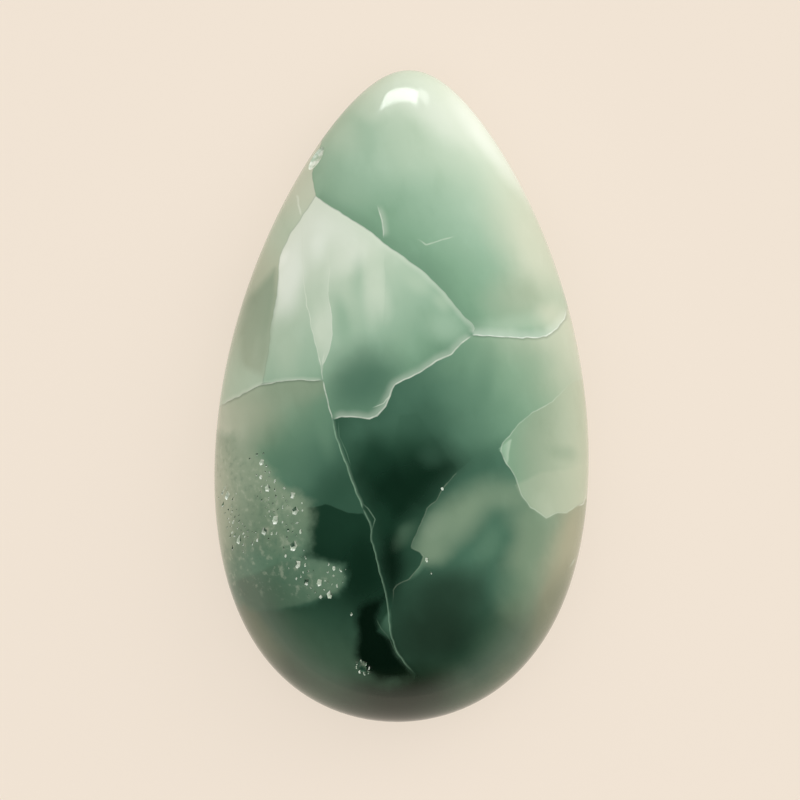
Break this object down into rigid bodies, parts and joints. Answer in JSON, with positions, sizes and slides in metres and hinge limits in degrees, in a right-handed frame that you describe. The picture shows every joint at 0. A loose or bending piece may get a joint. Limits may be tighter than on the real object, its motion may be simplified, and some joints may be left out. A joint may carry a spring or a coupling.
{
  "type": "polished hemimorphite stone",
  "caption": "Teardrop of polished translucent green hemimorphite, domed in front and ground flat behind, for display or for setting.",
  "frame": {"origin": "middle of the stone's footprint, on the plane it rests on", "axes": "+Y along the stone from its broad foot to its narrow tip, +X across it, +Z out of the domed front"},
  "size_m": [0.0218, 0.038, 0.0094],
  "materials": {
    "hemimorphite": "polished"
  },
  "bodies": {
    "root": {"hemimorphite_stone": "hemimorphite"}
  },
  "joints": []
}
